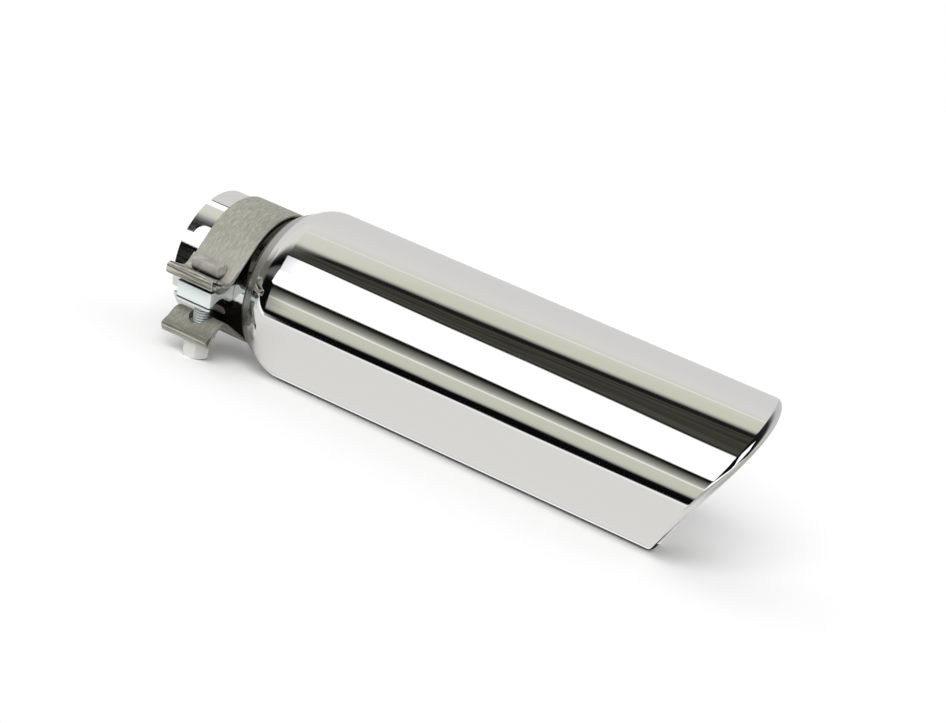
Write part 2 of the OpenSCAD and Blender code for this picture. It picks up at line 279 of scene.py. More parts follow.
def make_shell(sides=320):
    turn = LEAN + CUT_TURN
    rings = []
    for k in range(sides):
        a = 2 * math.pi * k / sides
        rings.append([spun(x, r, a, turn) for x, r in shell_loop(math.cos(a))])
    piece = loft("shell", rings)
    smooth(piece, 50)
    return piece


# Inlet tube

# The hooked corner that one side of a wide notch keeps at the mouth
HOOK_END, HOOK_BEND, HOOK_REACH = 10.5, 6.4, 6.6
HOOK_TURN = np.radians(np.linspace(0, 88, 12))
# How far a slot's cutter runs out past the mouth, and from where to where it stands out from the bore
RUN_OUT, SLOT_CUT = 2, (TUBE_R * 0.6, TUBE_R * 1.3)
# Rounding of the wall at the tube's two ends
WALL_EDGE = 0.35


def tube_wall(r, s):
    """One face of the wall from end to end: s is 1 for the outside and -1 for the inside, which runs back."""
    points = [(0, r - s * WALL_EDGE), (0.1, r - s * 0.1), (WALL_EDGE, r)]
    points += [(x, r) for x in (6, 30, 55, TUBE_LENGTH - WALL_EDGE)]
    points.append((TUBE_LENGTH, r - s * WALL_EDGE))
    return points if s > 0 else points[::-1]


def slot_outline(width):
    """A slot with a round end, open at the mouth; a wide notch keeps its hooked corner."""
    half, far = width / 2, SLOT_DEPTH - width / 2
    outline = [(-RUN_OUT, -half), (far, -half)]
    outline += [(far + half * math.sin(t), -half * math.cos(t)) for t in np.linspace(0, math.pi, 17)[1:-1]]
    outline.append((far, half))
    if width != NOTCH_W:
        return outline + [(-RUN_OUT, half)]
    for t in HOOK_TURN:
        outline.append((HOOK_END - HOOK_BEND * math.sin(t), half - HOOK_BEND * (1 - math.cos(t))))
    return outline + [(-RUN_OUT, half - HOOK_REACH)]


def make_tube(sides=288):
    wall = tube_wall(TUBE_R, 1) + tube_wall(TUBE_R - TUBE_T, -1)
    rings = []
    for k in range(sides):
        a = 2 * math.pi * k / sides
        rings.append([spun(x, r, a, LEAN) for x, r in wall])
    piece = loft("slotted_tube", rings)
    cutters = []
    for k in range(4):
        for at, width in ((SLOT_AT, SLOT_W), (NOTCH_AT, NOTCH_W)):
            turn = math.pi / 2 - math.radians(at + 90 * k) + LEAN
            spin = Matrix.Rotation(turn, 4, "X")
            outline = slot_outline(width)
            faces = [[spin @ (Vector((x, y, z)) / 1000) for x, y in outline] for z in SLOT_CUT]
            cutters.append(loft("slot", faces, closed=False))
    cut(piece, cutters)
    soften(piece, 0.18, 2)
    true_round(piece, TUBE_R, TUBE_R - TUBE_T)
    return piece


def true_round(piece, *radii):
    """Gives the faces on a round wall about the bore the wall's own normals."""
    mesh = piece.data
    normals = [Vector(n.vector) for n in mesh.corner_normals]
    for p in mesh.polygons:
        c = p.center
        rc = math.hypot(c.y, c.z) * 1000
        radial = Vector((0, c.y, c.z)).normalized()
        side = radial.dot(p.normal)
        if abs(side) > 0.995 and any(abs(rc - r) < 0.05 for r in radii):
            for i in p.loop_indices:
                v = mesh.vertices[mesh.loops[i].vertex_index].co
                normals[i] = Vector((0, v.y, v.z)).normalized() * (1 if side > 0 else -1)
    mesh.normals_split_custom_set([tuple(n) for n in normals])


# Band clamp

def rounded(a, b, c, r, n=8):
    """Points that round the corner b between a and c with radius r."""
    p, q = unit(b - a), unit(c - b)
    turn = 1 if p[0] * q[1] - p[1] * q[0] > 0 else -1
    angle = math.acos(max(-1, min(1, p @ q)))
    start = b - r * math.tan(angle / 2) * p
    mid = start + turn * r * left(p)
    first = math.atan2(start[1] - mid[1], start[0] - mid[0])
    return arc(mid, r, first, first + turn * angle, n)


def aim(a):
    return np.array([math.cos(a), math.sin(a)])


def upper_path():
    q, mid, r_in = math.pi / 2, np.array([BOLT_U, UPPER_W]), UPPER_BEND - LAYER
    down = aim(UPPER_CLIMB - q)
    floor_end, back = mid + UPPER_BEND * down, mid + r_in * down
    knee = floor_end + UPPER_FLOOR * aim(UPPER_CLIMB)
    toe = knee + UPPER_PAD * aim(UPPER_PAD_AT)
    top = toe + UPPER_SIDE * aim(UPPER_SIDE_AT)
    join = back + UPPER_RETURN * aim(UPPER_CLIMB)
    path = arc(mid, UPPER_BEND, 2 * q + UPPER_LEAVE, 3 * q + UPPER_CLIMB, 16)
    path += rounded(floor_end, knee, toe, EAR_KNEE) + rounded(knee, toe, top, FOLD_R)
    path += rounded(toe, top, join, FOLD_R) + rounded(top, join, back, EAR_KNEE)
    path += arc(mid, r_in, 3 * q + UPPER_CLIMB, 2 * q + UPPER_LEAVE, 16)
    return path + [mid - r_in * aim(UPPER_LEAVE) + UPPER_TAIL * aim(UPPER_LEAVE + q)]


def lower_path():
    q, mid, r_in = math.pi / 2, np.array([BOLT_U, LOWER_W]), LOWER_BEND - LAYER
    climb = q - LOWER_LEAVE
    crest_end, back = mid + LOWER_BEND * aim(q - climb), mid + r_in * aim(q - climb)
    knee = crest_end + LOWER_SLOPE * aim(-climb)
    toe = knee + LOWER_PAD * aim(LOWER_PAD_AT)
    heel = toe + LOWER_SIDE * aim(LOWER_SIDE_AT)
    join = back + LOWER_RETURN * aim(-climb)
    path = arc(mid, LOWER_BEND, q + climb, q - climb, 16)
    path += rounded(crest_end, knee, toe, EAR_KNEE) + rounded(knee, toe, heel, FOLD_R)
    path += rounded(toe, heel, join, FOLD_R) + rounded(heel, join, back, EAR_KNEE)
    path += arc(mid, r_in, q - climb, q + climb, 16)
    return path + [mid + r_in * aim(q + climb) - LOWER_TAIL * aim(climb)]


def strip_rings(path, t, x0, x1, edge):
    """Sections of a strip along path, its four long edges rounded."""
    section = []
    for corner, (far, up) in enumerate(((1, 1), (0, 1), (0, -1), (1, -1))):
        cx, ch = (x1 - edge if far else x0 + edge), up * (t / 2 - edge)
        for k in range(4):
            a = math.radians(90 * corner + 30 * k)
            section.append((cx + edge * math.cos(a), ch + edge * math.sin(a)))
    rings = []
    for i, p in enumerate(path):
        ahead = unit(path[min(i + 1, len(path) - 1)] - path[min(i, len(path) - 2)])
        behind = unit(path[max(i, 1)] - path[max(i - 1, 0)])
        n = unit(left(ahead) + left(behind))
        n = n / (n @ left(ahead))
        rings.append([rest(x, *(p + n * off)) for x, off in section])
    return rings


# Rounding of the strip's edges
STRIP_EDGE = 0.35
# A straight of the path that is longer than LONG_RUN gets one more point FIRST_STEP along it; nearer points
# than SAME_POINT are one
LONG_RUN, FIRST_STEP, SAME_POINT = 4.5, 3, 0.02


def spaced(path):
    kept = [path[0]]
    for before, p in zip(path, path[1:]):
        gap = np.linalg.norm(p - before)
        if gap > LONG_RUN:
            kept.append(before + (p - before) * (FIRST_STEP / gap))
        if np.linalg.norm(p - kept[-1]) > SAME_POINT:
            kept.append(p)
    return kept


def ear_hole(low, high, length):
    """Cutter of an ear's hole from low to high up the bolt; length is the hole's size along the bore."""
    r, side, ring = EAR_HOLE / 2, (length - EAR_HOLE) / 2, []
    for t in full_turn(48):
        out, along = math.sin(t), math.cos(t)
        x = BOLT_X + math.copysign(side, along) + r * along
        ring.append((x, BOLT_U + math.copysign(HOLE_SHIFT, out) + r * out))
    return loft("ear_hole", [[rest(x, u, w) for x, u in ring] for w in (low, high)], closed=False)


def make_band():
    ring = arc((0, 0), RING_MID, UPPER_LEAVE, 2 * math.pi - LOWER_LEAVE, 240)[1:-1]
    path = spaced(upper_path()[::-1] + ring + lower_path())
    rings = strip_rings(path, BAND_T, BAND_X, BAND_X + BAND_W, STRIP_EDGE)
    piece = loft("clamp_strip", rings, closed=False)
    cut(piece, [ear_hole(LOWER_W - 12, -8.0, EAR_HOLE), ear_hole(4.0, UPPER_W + 12, EAR_SLOT)])
    smooth(piece, 35)
    return piece


# Bolt set

# The block's front face runs on down as a thin lip with a groove across it
LIP_LOW, LIP_THICK, GROOVE_LOW, GROOVE_HIGH, GROOVE_DEEP = 2.3, 1.7, 1.0, 2.0, 0.7
# Slant of the groove's two sides, and the lip's chamfer as its width and height
GROOVE_SLANT, LIP_CHAMFER = 0.1, (0.4, 0.6)
FRONT_LOW = BLOCK_MID - BLOCK_OUT_HIGH / 2 - LIP_LOW
FRONT_TOP = BLOCK_MID + BLOCK_OUT_HIGH / 2
# Where the block's inner face stops short of the tube, before its seat is cut round
BLOCK_IN = TUBE_R + 0.15
# Play of the seat round the tube, and of the holes round the bolt
SEAT_PLAY, HOLE_PLAY = 0.25, 0.2


def block_face(u, s):
    """Height of the block's top (s is 1) or underside (s is -1) at u, with the hollow at the bolt."""
    w_in, w_out = BLOCK_MID + s * BLOCK_IN_HIGH / 2, BLOCK_MID + s * BLOCK_OUT_HIGH / 2
    w = w_in + (w_out - w_in) * (u - BLOCK_IN) / (BLOCK_OUT - BLOCK_IN)
    off = abs(u - BOLT_U)
    if off >= BLOCK_HOLLOW:
        return w
    centre = BLOCK_MID + s * (BLOCK_WAIST / 2 + BLOCK_HOLLOW)
    hollow = centre - s * math.sqrt(BLOCK_HOLLOW ** 2 - off * off)
    return min(w, hollow) if s > 0 else max(w, hollow)


def make_block():
    outer, groove = BLOCK_OUT, BLOCK_OUT - GROOVE_DEEP
    back = outer - LIP_THICK
    outline = [(u, block_face(u, 1)) for u in np.linspace(BLOCK_IN, outer, 90)]
    outline += [(outer, FRONT_LOW + GROOVE_HIGH + GROOVE_SLANT), (groove, FRONT_LOW + GROOVE_HIGH)]
    outline += [(groove, FRONT_LOW + GROOVE_LOW), (outer, FRONT_LOW + GROOVE_LOW - GROOVE_SLANT)]
    outline += [(outer, FRONT_LOW), (back + LIP_CHAMFER[0], FRONT_LOW), (back, FRONT_LOW + LIP_CHAMFER[1])]
    outline += [(u, block_face(u, -1)) for u in np.linspace(back, BLOCK_IN, 80)]
    piece = extruded("bow_tie_block", outline, BOLT_X - BLOCK_LONG / 2, BOLT_X + BLOCK_LONG / 2)
    ease(piece, BLOCK_CORNER, lambda v: abs(reach(v) - BLOCK_OUT) < 0.01)
    seat = [[spun(x, TUBE_R + SEAT_PLAY, a, 0) for a in full_turn(200)] for x in (5, 55)]
    cut(piece, [upright("bolt_hole", BOLT_D / 2 + HOLE_PLAY, -12, 20), loft("tube_seat", seat, closed=False)])
    soften(piece, 0.22, 2)
    return piece


def half_round(name, r, w_mid, rise, length, up):
    """A bar across the bolt, its round side up or down."""
    s = -1 if up else 1
    outline = [(BOLT_U + r * math.cos(t), w_mid - s * r * math.sin(t)) for t in np.linspace(0, math.pi, 33)]
    outline += [(BOLT_U - r, w_mid + s * rise), (BOLT_U + r, w_mid + s * rise)]
    return extruded(name, outline, BOLT_X - length / 2, BOLT_X + length / 2)


def make_head():
    piece = half_round("bolt_head", HEAD_R, UPPER_W, HEAD_RISE, HEAD_LONG, False)
    soften(piece, 0.7, 3)
    return piece


def make_saddle():
    r = LOWER_BEND - LAYER - BAND_T / 2 - 0.12
    base = NUT_HIGH - NUT_END + 0.03
    piece = half_round("saddle", r, LOWER_W, LOWER_W - base, SADDLE_LONG, True)
    cut(piece, [upright("saddle_hole", BOLT_D / 2 + HOLE_PLAY, -40, -10)])
    soften(piece, 0.4, 2)
    return piece


# Land round the nut's turned ends, and the height of their chamfers
NUT_LAND, NUT_CHAMFER = 0.1, 2.0
SIX_TURNS = np.radians(range(0, 360, 60))


def make_nut():
    corner = NUT_FLATS / math.sqrt(3)
    hexagon = [(BOLT_X + corner * math.cos(a), BOLT_U + corner * math.sin(a)) for a in SIX_TURNS]
    ends = [[rest(x, u, w) for x, u in hexagon] for w in (-NUT_END, NUT_HIGH - NUT_END)]
    piece = loft("nut_body", ends, closed=False)
    r, h = NUT_FLATS / 2 + NUT_LAND, NUT_CHAMFER
    turned = ((0, r), (h, r + 2 * h), (NUT_HIGH - h, r + 2 * h), (NUT_HIGH, r))
    rings = [round_section(rr, w - NUT_END, 96) for w, rr in turned]
    cut(piece, [loft("nut_turning", rings, closed=False)], "INTERSECT")
    cut(piece, [upright("nut_bore", BOLT_D / 2 + 0.05, -45, -20)])
    soften(piece, 0.25, 2)
    return piece


# Geometry trees

FLOAT, WHOLE = "NodeSocketFloat", "NodeSocketInt"


def open_tree(name, inputs, result):
    """A geometry tree with named inputs, one of them its Finish, and the node that hands them on."""
    tree = bpy.data.node_groups.new(name, "GeometryNodeTree")
    for label, kind, value in inputs:
        socket = tree.interface.new_socket(label, in_out="INPUT", socket_type=kind)
        socket.default_value = value
    tree.interface.new_socket("Finish", in_out="INPUT", socket_type="NodeSocketMaterial")
    tree.interface.new_socket(result, in_out="OUTPUT", socket_type="NodeSocketGeometry")
    return tree, tree.nodes.new("NodeGroupInput").outputs


def close_tree(tree, given, made):
    """Ends a tree: instances made real, with the Finish on them."""
    n, l = tree.nodes, tree.links
    solid, paint = n.new("GeometryNodeRealizeInstances"), n.new("GeometryNodeSetMaterial")
    l.new(made, solid.inputs[0])
    l.new(solid.outputs[0], paint.inputs["Geometry"])
    l.new(given["Finish"], paint.inputs["Material"])
    l.new(paint.outputs[0], n.new("NodeGroupOutput").inputs[0])
    return tree


# The bolt's thread, in metres
THREAD = {"Radius": BOLT_D / 2000, "Pitch": 0.0016, "Turns": 30.0, "Depth": 0.001}


def thread_tree():
    """A spiral ridge along +Z."""
    inputs = [(name, FLOAT, value) for name, value in THREAD.items()]
    tree, given = open_tree("rolled_thread", inputs, "Thread")
    n, l = tree.nodes, tree.links

    def calc(kind, a, b):
        m = n.new("ShaderNodeMath")
        m.operation = kind
        for socket, v in zip(m.inputs, (a, b)):
            if isinstance(v, float):
                socket.default_value = v
            else:
                l.new(v, socket)
        return m.outputs[0]

    spiral = n.new("GeometryNodeCurveSpiral")
    spiral.inputs["Resolution"].default_value = 40
    mid = calc("SUBTRACT", given["Radius"], calc("MULTIPLY", given["Depth"], 0.9))
    l.new(mid, spiral.inputs["Start Radius"])
    l.new(mid, spiral.inputs["End Radius"])
    l.new(given["Turns"], spiral.inputs["Rotations"])
    l.new(calc("MULTIPLY", given["Pitch"], given["Turns"]), spiral.inputs["Height"])
    ridge = n.new("GeometryNodeCurvePrimitiveCircle")
    ridge.mode = "RADIUS"
    ridge.inputs["Resolution"].default_value = 8
    l.new(calc("MULTIPLY", given["Depth"], 0.86), ridge.inputs["Radius"])
    sweep = n.new("GeometryNodeCurveToMesh")
    sweep.inputs["Fill Caps"].default_value = True
    l.new(spiral.outputs[0], sweep.inputs["Curve"])
    l.new(ridge.outputs[0], sweep.inputs["Profile Curve"])
    return close_tree(tree, given, sweep.outputs[0])


def grown(name, tree, values, finish):
    """Runs a geometry tree and keeps its result as a plain mesh."""
    seed = new_piece(name, [(0, 0, 0)], [])
    mod = seed.modifiers.new("grow", "NODES")
    mod.node_group = tree
    for item in tree.interface.items_tree:
        if item.in_out == "INPUT" and item.name in values:
            mod[item.identifier] = values[item.name]
        elif item.in_out == "INPUT" and item.name == "Finish":
            mod[item.identifier] = finish
    settle(seed)
    return seed


def make_thread(finish):
    """The thread from just inside the nut's end up into the bolt's head."""
    low, high, pitch = -NUT_END + 1.0, UPPER_W - 1.5, THREAD["Pitch"] * 1000
    turns = (high - low - pitch) / pitch
    piece = grown("bolt_thread", thread_tree(), dict(THREAD, Turns=turns), finish)
    foot = rest(BOLT_X, BOLT_U, low + pitch / 2)
    piece.data.transform(Matrix.Translation(foot) @ Matrix.Rotation(LEAN, 4, "X"))
    smooth(piece, 60)
    return piece


def make_core():
    return soften(upright("bolt_core", BOLT_D / 2 - 0.75, -NUT_END + 1, UPPER_W), 0.2, 2)


# Weld

# The weld's ring of drops, in metres, and its place along the bore
WELD = {"Radius": 0.0385, "Ripples": 190, "Bead": 0.0009, "Unevenness": 0.2}
WELD_X = 0.0514


def weld_tree():
    """Overlapping ripples laid side by side round the neck, each as large as the bead or a little smaller."""
    kinds = {"Ripples": WHOLE}
    inputs = [(name, kinds.get(name, FLOAT), value) for name, value in WELD.items()]
    tree, given = open_tree("laid_weld", inputs, "Weld")
    n, l = tree.nodes, tree.links
    circle = n.new("GeometryNodeCurvePrimitiveCircle")
    circle.mode = "RADIUS"
    l.new(given["Ripples"], circle.inputs["Resolution"])
    l.new(given["Radius"], circle.inputs["Radius"])
    spots = n.new("GeometryNodeCurveToPoints")
    spots.mode = "EVALUATED"
    l.new(circle.outputs[0], spots.inputs["Curve"])
    drop = n.new("GeometryNodeMeshUVSphere")
    drop.inputs["Segments"].default_value = 16
    drop.inputs["Rings"].default_value = 8
    l.new(given["Bead"], drop.inputs["Radius"])
    shape = n.new("GeometryNodeSetShadeSmooth")
    l.new(drop.outputs["Mesh"], shape.inputs["Geometry"])
    smallest = n.new("ShaderNodeMath")
    smallest.operation = "SUBTRACT"
    smallest.inputs[0].default_value = 1.0
    l.new(given["Unevenness"], smallest.inputs[1])
    size = n.new("FunctionNodeRandomValue")
    size.data_type = "FLOAT"
    least, most = [s for s in size.inputs if s.type == "VALUE" and s.enabled]
    l.new(smallest.outputs[0], least)
    most.default_value = 1.0
    size.inputs["Seed"].default_value = 7
    place = n.new("GeometryNodeInstanceOnPoints")
    l.new(spots.outputs["Points"], place.inputs["Points"])
    l.new(shape.outputs[0], place.inputs["Instance"])
    l.new(spots.outputs["Rotation"], place.inputs["Rotation"])
    value = [s for s in size.outputs if s.type == "VALUE" and s.enabled][0]
    l.new(value, place.inputs["Scale"])
    return close_tree(tree, given, place.outputs[0])


def make_weld(finish):
    piece = grown("neck_bead", weld_tree(), WELD, finish)
    piece.data.transform(Matrix.Translation((WELD_X, 0, 0)) @ Matrix.Rotation(math.pi / 2, 4, "Y"))
    return piece


# Finishes

class Wiring:
    """Short calls that add and join the nodes of one tree."""

    def __init__(self, tree):
        self.n, self.l = tree.nodes, tree.links

    def feed(self, socket, value):
        if isinstance(value, bpy.types.NodeSocket):
            self.l.new(value, socket)
        elif isinstance(value, tuple):
            socket.default_value = (*value, 1)
        else:
            socket.default_value = value

    def calc(self, kind, *values):
        m = self.n.new("ShaderNodeMath")
        m.operation = kind
        for socket, value in zip(m.inputs, values):
            self.feed(socket, value)
        return m.outputs[0]

    def spread(self, value, low, high, to_low=0.0, to_high=1.0):
        m = self.n.new("ShaderNodeMapRange")
        for socket, v in zip(m.inputs, (value, low, high, to_low, to_high)):
            self.feed(socket, v)
        return m.outputs[0]

    def mix(self, factor, a, b):
        m = self.n.new("ShaderNodeMix")
        m.data_type = "RGBA"
        for i, v in ((0, factor), (6, a), (7, b)):
            self.feed(m.inputs[i], v)
        return m.outputs[2]

    def xyz(self, vector):
        parts = self.n.new("ShaderNodeSeparateXYZ")
        self.l.new(vector, parts.inputs[0])
        return parts.outputs

    def noise(self, along, angle):
        """Slow clouds over the room: along the bore, and round it in degrees."""
        at, t = self.n.new("ShaderNodeCombineXYZ"), self.n.new("ShaderNodeTexNoise")
        self.feed(at.inputs[0], self.calc("MULTIPLY", along, 14.0))
        self.feed(at.inputs[1], self.calc("MULTIPLY", angle, 0.12))
        self.l.new(at.outputs[0], t.inputs["Vector"])
        t.inputs["Scale"].default_value = 1.0
        t.inputs["Detail"].default_value = 3
        return t.outputs[0]

    def ramp(self, value, span, stops):
        """Colours at stops along 0 to span; a stop is (place, colour)."""
        node = self.n.new("ShaderNodeValToRGB")
        elements = node.color_ramp.elements
        elements.remove(elements[-1])
        for i, (place, colour) in enumerate(stops):
            e = elements[0] if i == 0 else elements.new(place / span)
            e.position = place / span
            e.color = (*colour, 1)
        self.l.new(self.calc("DIVIDE", value, span), node.inputs[0])
        return node.outputs[0]

    def curve(self, value, span, stops, low, high):
        """A number that runs straight from stop to stop, between low and high."""
        grey = [(place, ((v - low) / (high - low),) * 3) for place, v in stops]
        return self.spread(self.ramp(value, span, grey), 0.0, 1.0, low, high)


class Finish(Wiring):
    """A procedural metal finish: one shader, with named noise and bump steps."""

    def __init__(self, name, colour, roughness, metallic=1.0):
        self.mat = bpy.data.materials.new(name)
        self.mat.use_nodes = True
        super().__init__(self.mat.node_tree)
        self.bsdf = self.n["Principled BSDF"]
        self.feed(self.bsdf.inputs["Base Color"], colour)
        self.feed(self.bsdf.inputs["Roughness"], roughness)
        self.feed(self.bsdf.inputs["Metallic"], metallic)
        self.place = self.n.new("ShaderNodeTexCoord").outputs["Object"]
        self.bump = None

    def noise(self, scale, stretch=(1, 1, 1), detail=4, rough=0.6):
        m = self.n.new("ShaderNodeMapping")
        m.inputs["Scale"].default_value = stretch
        self.l.new(self.place, m.inputs["Vector"])
        t = self.n.new("ShaderNodeTexNoise")
        t.inputs["Scale"].default_value = scale
        t.inputs["Detail"].default_value = detail
        t.inputs["Roughness"].default_value = rough
        self.l.new(m.outputs[0], t.inputs["Vector"])
        return t.outputs[0]

    def set(self, socket, value):
        self.l.new(value, self.bsdf.inputs[socket])

    def darken(self, where, colour):
        """Takes the base colour towards colour by where, 0 to 1."""
        old = self.bsdf.inputs["Base Color"].links[0].from_socket
        self.set("Base Color", self.mix(where, old, colour))

    def clamp_place(self):
        """The point in the clamp's frame, in metres: along the bore, out from the bolt's line, up it."""
        x, y, z = self.xyz(self.place)
        c, s = math.cos(LEAN), math.sin(LEAN)
        out = self.calc("SUBTRACT", self.calc("MULTIPLY", y, -c), self.calc("MULTIPLY", z, s))
        up = self.calc("SUBTRACT", self.calc("MULTIPLY", z, c), self.calc("MULTIPLY", y, s))
        return x, self.calc("SUBTRACT", out, BOLT_U / 1000), up

    def both(self, *masks):
        """1 only where every mask is."""
        total = masks[0]
        for m in masks[1:]:
            total = self.calc("MULTIPLY", total, m)
        return total

    def inside(self, radius, blur=0.2):
        """1 on what lies nearer the bore than radius millimetres, 0 outside."""
        _, y, z = self.xyz(self.place)
        far = self.calc("SQRT", self.calc("ADD", self.calc("POWER", y, 2.0), self.calc("POWER", z, 2.0)))
        return self.spread(far, (radius + blur) / 1000, (radius - blur) / 1000)

    def press(self, value, strength, depth):
        """Adds one layer of relief, depth in metres."""
        b = self.n.new("ShaderNodeBump")
        b.inputs["Strength"].default_value = strength
        b.inputs["Distance"].default_value = depth
        self.l.new(value, b.inputs["Height"])
        if self.bump:
            self.l.new(self.bump.outputs[0], b.inputs["Normal"])
        self.bump = b
        self.l.new(b.outputs[0], self.bsdf.inputs["Normal"])


# The places of the finishes' tones are in metres, each from where a tone begins to where it is full

# Colour of the shell's polish
POLISH = 0.9
# Along the bore: painted shade in the gap between the band and the neck, on the neck and on the tube
NECK_SHADE, TUBE_SHADE = (0.0548, 0.0543), (0.024, 0.03)
# Up the bolt: the tube's painted shade is left off between these heights, where it faces the block
BLOCK_FROM, BLOCK_TO = (-0.0035, -0.0028), (0.0078, 0.007)


def mirror_polish():
    f = Finish("mirror_polish", (POLISH,) * 3, 0.03)
    bore = f.inside(SHELL_R - SHELL_T / 2 - LIP_BEND)
    f.set("Base Color", f.mix(bore, (POLISH,) * 3, (0.55, 0.54, 0.52)))
    fine = f.spread(f.noise(6, (4, 60, 60)), 0.3, 0.75, 0.015, 0.06)
    f.set("Roughness", f.calc("MULTIPLY_ADD", bore, 0.25, fine))
    # Painted shade: the neck darkens in the gap behind the band
    f.darken(f.spread(f.xyz(f.place)[0], *NECK_SHADE), (0.16, 0.154, 0.136))
    f.press(f.noise(3, (2, 9, 9), 2), 0.35, 0.0006)
    return f.mat


def tube_polish():
    f = Finish("tube_polish", (0.88, 0.88, 0.87), 0.08)
    bore = f.inside(TUBE_R - TUBE_T / 2)
    # Painted shade: the tube's inside is near black with cloudy patches, standing for the dark it mirrors
    inside_shade = f.mix(f.spread(f.noise(70, (1, 2, 2), 6), 0.35, 0.7), (0.05, 0.048, 0.043), (0.13, 0.12, 0.1))
    f.set("Base Color", f.mix(bore, (0.88, 0.88, 0.87), inside_shade))
    fine = f.spread(f.noise(20, (1, 30, 30)), 0.3, 0.75, 0.04, 0.12)
    f.set("Roughness", f.calc("MULTIPLY_ADD", bore, 0.2, fine))
    x, _, up = f.clamp_place()
    # Painted shade on the tube in the gap behind the band, left off where the tube faces the block
    beside_block = f.both(f.spread(up, *BLOCK_FROM), f.spread(up, *BLOCK_TO))
    shade = f.both(f.spread(x, *TUBE_SHADE), f.calc("SUBTRACT", 1.0, beside_block))
    f.darken(shade, (0.06, 0.056, 0.048))
    return f.mat


# Up the bolt: painted light on the ring's low part begins and ends, and painted shade on the lower ear begins
PAINTED_LIGHT_FROM, PAINTED_LIGHT_TO, LOWER_EAR_SHADE = (0.036, 0.018), (-0.004, 0.004), (-0.008, -0.013)
# Towards the bolt: the ring's grain gives way to the ears' rolled lines
EARS_FROM = (-0.052, -0.057)
# Painted shade in the upper ear's trough beside the head: from the bolt along the bore, out from it and back,
# and up it
TROUGH_SHADE_SIDE, TROUGH_SHADE_UP = (0.0105, 0.0095), (0.004, 0.006)
TROUGH_SHADE_OUT, TROUGH_SHADE_BACK = (0.0095, 0.0072), (-0.001, 0.002)


def strip_satin():
    """Rolled satin strip: short grain round the ring, long lines along the bore on the two ears, painted
    light on the ring's low part, and painted shade on the lower ear and in the trough beside the head.
    """
    f = Finish("strip_satin", (0.5, 0.49, 0.43), 0.4, 0.5)
    x, out, up = f.clamp_place()
    grain = f.spread(f.noise(230, (5, 1, 1), 6, 0.75), 0.45, 0.65)
    ring = f.mix(grain, (0.33, 0.327, 0.28), (0.55, 0.545, 0.48))
    # Painted light: the ring is paler on its low part
    painted_light = f.both(f.spread(up, *PAINTED_LIGHT_FROM, 0.0, 0.3), f.spread(up, *PAINTED_LIGHT_TO))
    ring = f.mix(painted_light, ring, (0.72, 0.71, 0.63))
    ear = f.spread(f.xyz(f.place)[1], *EARS_FROM)
    lines = f.noise(520, (0.03, 1, 1), 5, 0.75)
    rolled = f.mix(f.spread(lines, 0.42, 0.58), (0.15, 0.145, 0.11), (0.78, 0.77, 0.7))
    f.set("Base Color", f.mix(ear, ring, rolled))
    # Painted shade: the lower ear is darker than the rest of the strip
    f.darken(f.spread(up, *LOWER_EAR_SHADE, 0.0, 0.34), (0.1, 0.1, 0.08))
    # Painted shade in the trough between the upper ear's fold and the head
    from_bolt = f.calc("ABSOLUTE", f.calc("SUBTRACT", x, BOLT_X / 1000))
    across = f.both(f.spread(out, *TROUGH_SHADE_OUT), f.spread(out, *TROUGH_SHADE_BACK))
    trough_shade = f.both(f.spread(from_bolt, *TROUGH_SHADE_SIDE), across, f.spread(up, *TROUGH_SHADE_UP))
    f.darken(trough_shade, (0.035, 0.033, 0.026))
    f.set("Roughness", f.spread(f.noise(300, (6, 1, 1)), 0.35, 0.7, 0.34, 0.52))
    f.press(f.noise(260, (9, 1, 1), 3), 0.16, 0.0001)
    f.press(f.calc("MULTIPLY", lines, ear), 0.6, 0.0005)
    return f.mat


def plated(name, colour, rough, grain, metal=1.0, relief=0.00006, dimmed=0.82):
    """Zinc plate: cloudy colour and a fine grain."""
    f = Finish(name, colour, rough, metal)
    dim = tuple(c * dimmed for c in colour)
    f.set("Base Color", f.mix(f.spread(f.noise(grain, detail=6), 0.38, 0.66), dim, colour))
    f.set("Roughness", f.spread(f.noise(grain * 1.7), 0.3, 0.7, rough * 0.8, rough * 1.2))
    f.press(f.noise(grain * 3), 0.2, relief)
    return f


def block_finish():
    """Bright zinc with painted shade in the groove and along the top edge, under the ear."""
    def heights(*levels):
        return [level / 1000 for level in levels]

    f = plated("block_zinc", (0.78, 0.83, 0.82), 0.36, 60, 0.5, 0.00002, 0.96)
    _, out, up = f.clamp_place()
    front = (BLOCK_OUT - BOLT_U) / 1000
    floor, roof = FRONT_LOW + GROOVE_LOW, FRONT_LOW + GROOVE_HIGH
    # Painted shade in the groove and along the top edge, under the ear's fold
    groove = f.both(f.spread(out, front - 0.0018, front - 0.0012),
                    f.spread(up, *heights(floor - 0.1, floor + 0.1)),
                    f.spread(up, *heights(roof + 0.3, roof)))
    under_ear_shade = f.spread(up, *heights(FRONT_TOP - 0.35, FRONT_TOP - 0.1))
    f.darken(f.calc("MAXIMUM", groove, under_ear_shade), (0.03, 0.033, 0.03))
    return f.mat


def head_finish():
    """Dull zinc, with painted shade where the round side lies in the ear."""
    f = plated("head_dull", (0.64, 0.63, 0.57), 0.5, 220, 0.6, 0.0003, 0.7)
    up = f.clamp_place()[2]
    # Painted shade on the head's round side, where it lies in the ear
    f.darken(f.spread(up, (UPPER_W - 0.8) / 1000, (UPPER_W - 3.2) / 1000), (0.04, 0.04, 0.033))
    return f.mat


# Distance from the bolt's line at which painted shade darkens the thread's valleys, and height above which
# painted shade darkens the thread
VALLEY, SHADE_ABOVE = (0.0045, 0.0042), (-0.007, -0.005)


